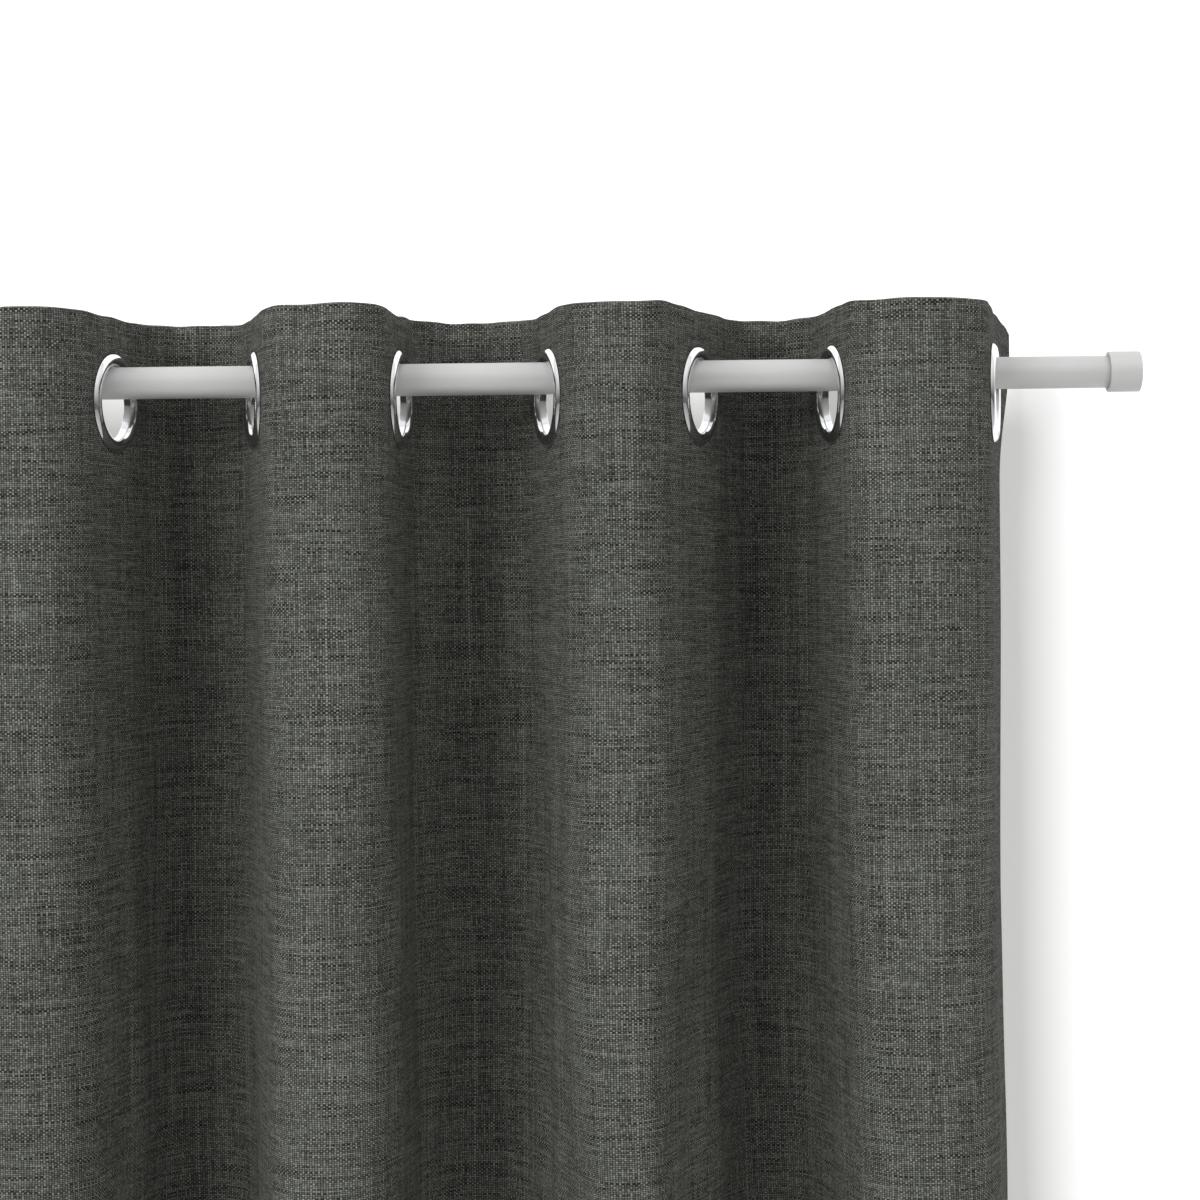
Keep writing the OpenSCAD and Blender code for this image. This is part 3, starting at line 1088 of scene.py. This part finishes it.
def weight_matrix(cloth, number):
    """Turns a flat round piece about Z into the hem's corner on the side of that eyelet,
    between the cloth's layers."""
    inset = cloth.weight_inset
    side = inset if number == 1 else cloth.width - inset
    depth = cloth.drop - inset
    step = 0.008
    level = cloth.points(np.array([side - step, side, side + step]), depth, 0.0)
    above = cloth.points(np.array([side]), depth - step, 0.0)[0]
    below = cloth.points(np.array([side]), depth + step, 0.0)[0]
    down = Vector(below - above).normalized()
    out = Vector(level[2] - level[0]).cross(down).normalized()
    matrix = Matrix((down, out.cross(down), out)).transposed().to_4x4()
    matrix.translation = Vector(level[1])
    return matrix


def build_label(cloth):
    """Folded blank label over the side hem, held along its outer edge."""
    low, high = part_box("care_label")
    wide = LABEL_SIZE[0]
    middle = cloth.width - cloth.side_hem / 2
    columns = np.linspace(middle - wide / 2, middle + wide / 2, 15)
    rows = np.linspace(TOP_Z - high.z, TOP_Z - low.z, 25)
    share = (columns - columns[0]) / wide
    lift = 0.0022 * (1 - share) ** 2 * np.linspace(0, 1, len(rows))[:, None] ** 1.5
    across = np.tile(columns, (len(rows), 1))
    depths = np.tile(rows[:, None], (1, len(columns)))
    points = lay_rows(cloth, across, rows, cloth.stack / 2 + 0.0007 + lift, depths)
    piece = sheet_from_grid("label_tab", points, across, depths[::-1], every_cell(across))
    return thicken(piece, 0.00025)


# ---------------------------------------------------------------- operators


def add_sheet(build, name, slot, node, *weave, **more):
    """A woven sheet that belongs to the panel."""
    material = woven_material(name.split("_")[0] + "_weave", *weave, **more)
    return finish_piece(build(cloth_shape()), name, "panel", slot, material, [node])


class CURTAIN_OT_face_cloth(bpy.types.Operator):
    """Builds the woven face cloth with its turned header and hems"""

    bl_idname = "curtain.face_cloth"
    bl_label = "Face cloth"

    def execute(self, context):
        weave = context.scene.curtain_weave
        add_sheet(build_face_cloth, "face_cloth", "face_fabric", "face_fabric",
                  weave.dark_yarn, weave.light_yarn, weave.warp_pitch, weave.weft_pitch,
                  weave.slub)
        return {"FINISHED"}


class CURTAIN_OT_lining(bpy.types.Operator):
    """Builds the lining behind the face cloth"""

    bl_idname = "curtain.lining"
    bl_label = "Lining"

    def execute(self, context):
        add_sheet(build_lining, "lining_cloth", "lining", "lining",
                  (0.52, 0.50, 0.45), (0.80, 0.78, 0.71), 0.0006, 0.0006, 0.25,
                  bump=0.0001, sheen=0.05)
        return {"FINISHED"}


class CURTAIN_OT_heading_tape(bpy.types.Operator):
    """Builds the stiff strip inside the header"""

    bl_idname = "curtain.heading_tape"
    bl_label = "Heading tape"

    def execute(self, context):
        add_sheet(build_heading_strip, "heading_strip", "heading_tape", "heading_tape",
                  (0.60, 0.60, 0.58), (0.88, 0.88, 0.86), 0.0009, 0.0009, 0.1, bump=0.0001)
        return {"FINISHED"}


class CURTAIN_OT_stitching(bpy.types.Operator):
    """Builds the rows of stitches along the header, hem, side hems and lining"""

    bl_idname = "curtain.stitching"
    bl_label = "Stitching"

    def execute(self, context):
        cloth = cloth_shape()
        dark = plain_material("grey_thread", (0.060, 0.062, 0.054), 0.8)
        pale = plain_material("pale_thread", (0.70, 0.68, 0.62), 0.8)
        face, back = -cloth.stack / 2, cloth.stack / 2 + 0.00065
        top, low = cloth.header, cloth.drop - cloth.hem
        sewn = cloth.side_hem - LINING_STITCH

        def level(depths, inset, *line):
            return [stitch for depth in depths for stitch in stitches_across(
                cloth, depth, inset, cloth.width - inset, *line)]

        def upright(inset, *line):
            return [stitch for s in (inset, cloth.width - inset)
                    for stitch in stitches_down(cloth, s, *line)]

        for name, slot, material, stitches in (
            ("stitches_header", "face_fabric", dark,
             level([top - HEM_STITCH], 0.004, face, 0.0034, 0.0026)),
            ("stitches_hem", "face_fabric", dark,
             level([low + HEM_STITCH], 0.004, face, 0.0034, 0.0026)),
            ("stitches_sides", "face_fabric", dark,
             upright(cloth.side_hem - HEM_STITCH, top, low, face, 0.0090, 0.0016)),
            ("stitches_lining", "lining", pale,
             level([top - LINING_STITCH, low + LINING_STITCH], sewn, back, 0.0042, 0.0032)
             + upright(sewn, top - LINING_STITCH, low + LINING_STITCH, back, 0.0062, 0.0044)),
        ):
            piece = stitch_mesh(name, stitches, THREAD_D)
            finish_piece(piece, name, "panel", slot, material)
            gather(piece)
        return {"FINISHED"}


class CURTAIN_OT_eyelets(bpy.types.Operator):
    """Builds the eyelets: a flange with its barrel, and a backing ring, for each hole"""

    bl_idname = "curtain.eyelets"
    bl_label = "Eyelets"

    def execute(self, context):
        metal = context.scene.curtain_metal
        chrome = steel_material(
            "polished_chrome", metal.eyelet_colour, 0.06, (40.0, 40.0, 40.0), 0.05)
        ring = build_eyelet_ring(metal)
        washer = build_eyelet_washer(metal)
        for number in range(1, EYELET_COUNT + 1):
            body = "panel" if number == EYELET_COUNT else f"eyelet_{number}"
            for model, kind, node, slot in (
                (ring, "ring", "face", "eyelet_chrome"),
                (washer, "washer", "back", "eyelet_backing"),
            ):
                piece = place_copy(
                    model, eyelet_matrix(number), f"eyelet_{kind}_{number}", body, slot,
                    chrome, [f"eyelet_{number}_{node}"])
                gather(piece, EYELET_X[number - 1])
        for model in (ring, washer):
            bpy.data.objects.remove(model)
        return {"FINISHED"}


class CURTAIN_OT_rod(bpy.types.Operator):
    """Builds the curtain rod"""

    bl_idname = "curtain.rod"
    bl_label = "Rod"

    def execute(self, context):
        metal = context.scene.curtain_metal
        steel = steel_material(
            "satin_steel", metal.rod_colour, 0.44, (25.0, 900.0, 900.0), 0.16, metallic=0.35)
        piece = build_rod()
        set_in_place(piece, along_x_matrix(ROD_LOW.x, 1))
        finish_piece(piece, "steel_rod", "rod", "rod_steel", steel, ["rod_tube"])
        return {"FINISHED"}


class CURTAIN_OT_end_caps(bpy.types.Operator):
    """Builds the two end caps of the rod"""

    bl_idname = "curtain.end_caps"
    bl_label = "End caps"

    def execute(self, context):
        metal = context.scene.curtain_metal
        steel = steel_material(
            "cap_steel", metal.rod_colour, 0.46, (60.0, 300.0, 300.0), 0.10, metallic=0.35)
        cap = build_cap()
        left_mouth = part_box("end_cap_left")[1].x
        for name, node, x, towards in (
            ("left_cap", "end_cap_left", left_mouth, -1),
            ("right_cap", "end_cap_right", CAP_LOW.x, 1),
        ):
            place_copy(cap, along_x_matrix(x, towards), name,
                       node.replace("end_cap", "cap"), "cap_steel", steel, [node])
        bpy.data.objects.remove(cap)
        return {"FINISHED"}


class CURTAIN_OT_hem_weights(bpy.types.Operator):
    """Builds the two weights in the corners of the hem"""

    bl_idname = "curtain.hem_weights"
    bl_label = "Hem weights"

    def execute(self, context):
        steel = steel_material("dull_steel", (0.42, 0.43, 0.44), 0.42, (90.0,) * 3, 0.1)
        weight = build_weight()
        for side, number, body in (("left", 1, "eyelet_1"), ("right", EYELET_COUNT, "panel")):
            piece = place_copy(
                weight, weight_matrix(cloth_shape(), number), f"weight_{side}", body,
                "weight_steel", steel, [f"hem_weight_{side}"])
            gather(piece, EYELET_X[number - 1])
        bpy.data.objects.remove(weight)
        return {"FINISHED"}


class CURTAIN_OT_care_label(bpy.types.Operator):
    """Builds the blank label on the side hem"""

    bl_idname = "curtain.care_label"
    bl_label = "Care label"

    def execute(self, context):
        piece = add_sheet(
            build_label, "label_tab", "label", "care_label", (0.62, 0.62, 0.60),
            (0.86, 0.86, 0.84), 0.0004, 0.0004, 0.05, bump=0.00005, sheen=0.05)
        gather(piece)
        return {"FINISHED"}


class CURTAIN_OT_hang(bpy.types.Operator):
    """Gives the face cloth, lining and heading strip meshes of their own"""

    bl_idname = "curtain.hang"
    bl_label = "Hang the sheets"

    def execute(self, context):
        cloth = cloth_shape()
        objects = bpy.data.objects
        for name in ("face_cloth", "lining_cloth", "heading_strip"):
            gather(objects[name])
        return {"FINISHED"}


class CURTAIN_OT_stage(bpy.types.Operator):
    """Builds the floor, the wall, the lights and the camera"""

    bl_idname = "curtain.stage"
    bl_label = "Stage"

    def execute(self, context):
        scene = context.scene
        stage = scene.curtain_stage
        self.build_room(stage)
        self.build_lights(stage)
        self.build_camera(scene, stage)
        self.build_world(scene)
        scene.view_settings.view_transform = "Standard"
        scene.view_settings.look = "None"
        return {"FINISHED"}

    def build_room(self, stage):
        paint, n, shader = new_material("white_paint", (0.86, 0.86, 0.86))
        n.fill(shader, {
            "Roughness": 0.9,
            "Specular IOR Level": 0.1,
            "Emission Color": (1.0, 1.0, 1.0, 1),
            "Emission Strength": 0.24,
        })
        behind = n.add("ShaderNodeNewGeometry").outputs["Backfacing"]
        path = n.add("ShaderNodeLightPath").outputs
        shown = n.math("MAXIMUM", path["Is Camera Ray"], path["Is Glossy Ray"])
        clear = n.math("MAXIMUM", behind, n.math("SUBTRACT", 1.0, shown))
        see_through = n.add("ShaderNodeBsdfTransparent").outputs[0]
        n.put(paint.node_tree.nodes["Material Output"].inputs["Surface"],
              n.mix_shaders(clear, shader.outputs[0], see_through))
        floor_z = BOTTOM_Z - FLOOR_GAP
        floor = self.plane("floor", 14.0, (0.35, 0, floor_z), (0, 0, 0),
                           plain_material("pale_floor", (0.72, 0.72, 0.71), 0.7))
        wall = self.plane("wall", 8.0, (0.35, stage.wall_gap, floor_z + 4.0),
                          (math.pi / 2, 0, 0), paint)

    def plane(self, name, size, place, turn, material):
        deselect_all()
        bpy.ops.mesh.primitive_plane_add(size=size, location=place, rotation=turn)
        piece = bpy.context.object
        piece.name = name
        piece.data.materials.append(material)
        return piece

    def build_lights(self, stage):
        wall = bpy.data.objects["wall"]
        for name, place, target, size, power, on_wall in (
            ("left_light", (-1.7, -2.4, 1.0), (0.38, 0.0, -0.3), 1.5, stage.left_power, False),
            ("right_light", (2.5, -2.4, 1.0), (0.38, 0.0, -0.3), 1.5, stage.right_power, False),
            ("wall_light", (-0.34, -2.7, 0.43), (0.50, 0.1, -0.2), 0.7, stage.wall_power, True),
            ("rear_light", (1.4, 2.8, 0.6), (0.35, 0.0, -0.9), 1.6, stage.rear_power, False),
        ):
            data = bpy.data.lights.new(name, "AREA")
            data.shape = "SQUARE"
            data.size = size
            data.energy = power
            light = bpy.data.objects.new(name, data)
            light.visible_glossy = False
            bpy.context.scene.collection.objects.link(light)
            light.location = place
            aim = Vector(target) - Vector(place)
            light.rotation_euler = aim.to_track_quat("-Z", "Y").to_euler()
            lit = bpy.data.collections.new(f"{name}_receivers")
            lit.objects.link(wall)
            light.light_linking.receiver_collection = lit
            if on_wall:
                clear = bpy.data.collections.new(f"{name}_unshaded")
                for piece in ("steel_rod", "left_cap", "right_cap"):
                    clear.objects.link(bpy.data.objects[piece])
                light.light_linking.blocker_collection = clear
                for member in clear.collection_objects:
                    member.light_linking.link_state = "EXCLUDE"
            else:
                lit.collection_objects[0].light_linking.link_state = "EXCLUDE"

    def build_camera(self, scene, stage):
        data = bpy.data.cameras.new("camera")
        data.lens = stage.lens
        data.sensor_width = 36.0
        data.clip_end = 60.0
        data.dof.use_dof = False
        camera = bpy.data.objects.new("camera", data)
        scene.collection.objects.link(camera)
        turn = (Matrix.Rotation(math.pi / 2 - stage.pitch, 4, "X")
                @ Matrix.Rotation(-stage.roll, 4, "Z"))
        camera.matrix_world = (
            Matrix.Translation((stage.camera_x, -stage.distance, stage.camera_z)) @ turn)
        scene.camera = camera

    def build_world(self, scene):
        world = bpy.data.worlds.new("room")
        world.use_nodes = True
        scene.world = world
        n = Nodes(world.node_tree)
        white = (1.0, 1.0, 1.0, 1)
        soft = n.fill(world.node_tree.nodes["Background"], {0: white, 1: 0.46})[0]
        path = n.add("ShaderNodeLightPath").outputs
        up = n.parts(n.add("ShaderNodeTexCoord").outputs["Generated"])[2]
        mirrored = n.run("ShaderNodeBackground", white, n.spread(up, -0.1, 0.7, 0.14, 1.0))
        backdrop = n.run("ShaderNodeBackground", white, 0.95)
        glossy = n.mix_shaders(path["Is Glossy Ray"], soft, mirrored)
        seen = n.mix_shaders(path["Is Camera Ray"], glossy, backdrop)
        n.put(world.node_tree.nodes["World Output"].inputs[0], seen)


class CURTAIN_PT_panel(bpy.types.Panel):
    """Lists the steps that build the curtain"""

    bl_idname = "CURTAIN_PT_panel"
    bl_label = "Curtain"
    bl_space_type = "VIEW_3D"
    bl_region_type = "UI"
    bl_category = "Curtain"

    def draw(self, context):
        scene = context.scene
        for settings in (scene.curtain_cloth, scene.curtain_weave, scene.curtain_metal,
                         scene.curtain_stage):
            box = self.layout.box()
            for name in settings.__annotations__:
                box.prop(settings, name)
        for operator in OPERATORS:
            self.layout.operator(operator.bl_idname)


SETTINGS = {
    "curtain_cloth": CURTAIN_cloth_settings,
    "curtain_weave": CURTAIN_weave_settings,
    "curtain_metal": CURTAIN_metal_settings,
    "curtain_stage": CURTAIN_stage_settings,
}
OPERATORS = (
    CURTAIN_OT_rod,
    CURTAIN_OT_end_caps,
    CURTAIN_OT_face_cloth,
    CURTAIN_OT_lining,
    CURTAIN_OT_heading_tape,
    CURTAIN_OT_stitching,
    CURTAIN_OT_hang,
    CURTAIN_OT_eyelets,
    CURTAIN_OT_hem_weights,
    CURTAIN_OT_care_label,
    CURTAIN_OT_stage,
)


def register():
    for kind in (*SETTINGS.values(), *OPERATORS, CURTAIN_PT_panel):
        bpy.utils.register_class(kind)
    for name, kind in SETTINGS.items():
        setattr(bpy.types.Scene, name, PointerProperty(type=kind))


def unregister():
    for name in SETTINGS:
        delattr(bpy.types.Scene, name)
    for kind in (CURTAIN_PT_panel, *reversed(OPERATORS), *SETTINGS.values()):
        bpy.utils.unregister_class(kind)


def write_sizes():
    """Brings the view layer up to date."""
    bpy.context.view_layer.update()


def main():
    register()
    for operator in OPERATORS:
        group, name = operator.bl_idname.split(".")
        result = getattr(getattr(bpy.ops, group), name)()
        if result != {"FINISHED"}:
            raise RuntimeError(f"{operator.bl_idname} did not finish")
    write_sizes()


if __name__ == "__main__":
    main()
